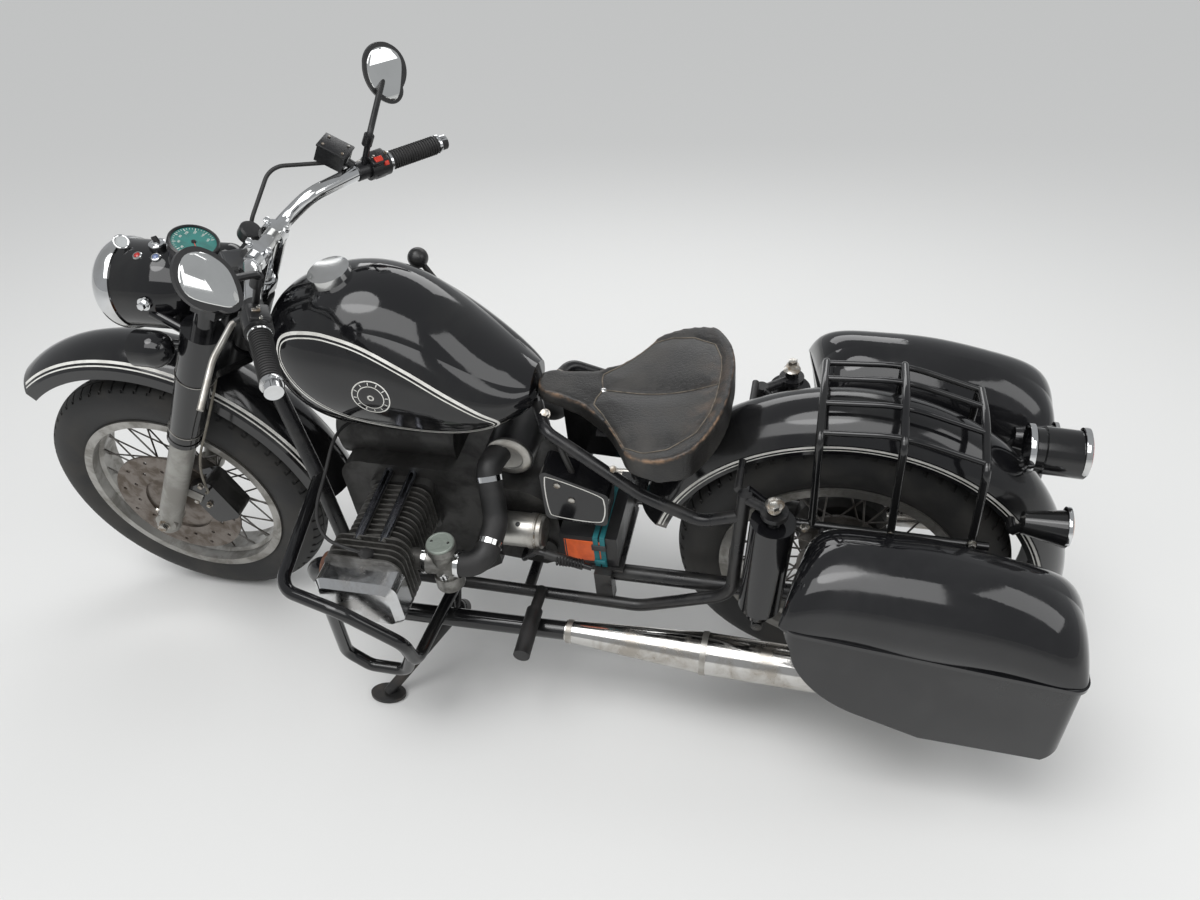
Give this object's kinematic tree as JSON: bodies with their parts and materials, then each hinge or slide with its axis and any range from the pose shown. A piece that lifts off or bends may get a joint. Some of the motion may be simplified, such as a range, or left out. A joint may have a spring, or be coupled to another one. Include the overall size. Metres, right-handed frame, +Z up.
{
  "type": "motorcycle",
  "caption": "Black boxer-twin tourer with solo leather saddle, spoked wheels, chrome lamp and silencers and hard panniers, leaning on its side stand.",
  "frame": {"origin": "middle of the box's footprint, on the floor, with the machine leaning on its side stand", "axes": "+X towards the front wheel, +Y to the rider's left, which is the side it leans to, +Z up"},
  "size_m": [2.2809, 0.9826, 1.3056],
  "materials": {
    "tyre_rubber": "matt, worn",
    "worn_rim_alloy": "dull, weathered",
    "bright_chrome": "polished",
    "black_paint": "gloss",
    "frame_paint": "semi-gloss",
    "slider_alloy": "dull",
    "engine_alloy": "weathered, grey-brown",
    "polished_alloy": "polished",
    "brake_steel": "weathered",
    "black_rubber": "matt",
    "saddle_leather": "worn",
    "lamp_glass": "clear",
    "black_plastic": "matt",
    "pannier_plastic": "gloss",
    "stand_steel": "satin"
  },
  "bodies": {
    "root": {"rear_fender": "black_paint", "frame_backbone": "frame_paint", "frame_cradle": "frame_paint", "frame_seat_rails": "frame_paint", "frame_crossmembers": "frame_paint", "fuel_tank": "black_paint", "fuel_cap": "bright_chrome", "saddle": "saddle_leather", "saddle_mount": "frame_paint", "swing_arm": "frame_paint", "final_drive": "engine_alloy", "shock_absorbers": "black_paint", "crankcase": "engine_alloy", "gearbox": "engine_alloy", "cylinders": "engine_alloy", "rocker_covers": "polished_alloy", "carburettors": "engine_alloy", "air_cleaner": "black_plastic", "intake_hoses": "black_rubber", "starter_motor": "polished_alloy", "exhaust_pipes": "frame_paint", "silencers": "bright_chrome", "battery": "black_plastic", "tool_boxes": "black_plastic", "crash_bars": "black_paint", "footpegs": "black_rubber", "foot_controls": "frame_paint", "pannier_bin_left": "black_plastic", "pannier_bin_right": "black_plastic", "pannier_brackets": "frame_paint", "luggage_rack": "black_paint", "tail_lamp": "black_paint", "rear_indicators": "black_paint", "frame_lugs": "frame_paint", "reverse_lever": "frame_paint"},
    "steering": {"fork_sliders": "slider_alloy", "fork_covers": "black_paint", "fork_yokes": "black_paint", "handlebar": "bright_chrome", "grips": "black_rubber", "hand_controls": "black_plastic", "mirrors": "black_plastic", "headlamp_shell": "black_paint", "headlamp_rim": "bright_chrome", "headlamp_lens": "lamp_glass", "speedometer": "black_plastic", "front_indicators": "black_paint", "front_fender": "black_paint", "brake_caliper": "black_paint", "control_cables": "black_plastic"},
    "front_wheel": {"front_tyre": "tyre_rubber", "front_rim": "worn_rim_alloy", "front_hub": "worn_rim_alloy", "front_disc": "brake_steel"},
    "rear_wheel": {"rear_tyre": "tyre_rubber", "rear_rim": "worn_rim_alloy", "rear_hub": "worn_rim_alloy"},
    "side_stand": {"side_stand": "stand_steel"},
    "lid_left": {"pannier_lid_left": "pannier_plastic"},
    "lid_right": {"pannier_lid_right": "pannier_plastic"}
  },
  "joints": [
    {"name": "steering_turn", "type": "hinge", "parent": "root", "child": "steering", "pos_m": [0.45556, 0.02715, 0.84149], "axis": [-0.4848, 0.1967, 0.8522], "range_deg": [-32, 32]},
    {"name": "front_wheel_turn", "type": "hinge", "parent": "steering", "child": "front_wheel", "pos_m": [0.8055, -0.09074, 0.33087], "axis": [0, 0.9744, -0.225], "continuous": true},
    {"name": "rear_wheel_turn", "type": "hinge", "parent": "root", "child": "rear_wheel", "pos_m": [-0.7105, -0.09074, 0.33087], "axis": [0, 0.9744, -0.225], "continuous": true},
    {"name": "side_stand_turn", "type": "hinge", "parent": "root", "child": "side_stand", "pos_m": [0.0895, 0.04573, 0.17518], "axis": [0, 0.7804, 0.6252], "range_deg": [0, 112]},
    {"name": "lid_left_turn", "type": "hinge", "parent": "root", "child": "lid_left", "pos_m": [-0.8605, 0.33126, 0.44281], "axis": [-0.9914, -0.0294, -0.1275], "range_deg": [0, 75]},
    {"name": "lid_right_turn", "type": "hinge", "parent": "root", "child": "lid_right", "pos_m": [-0.8605, -0.42096, 0.61647], "axis": [0.9914, 0.0294, 0.1275], "range_deg": [0, 75]}
  ]
}
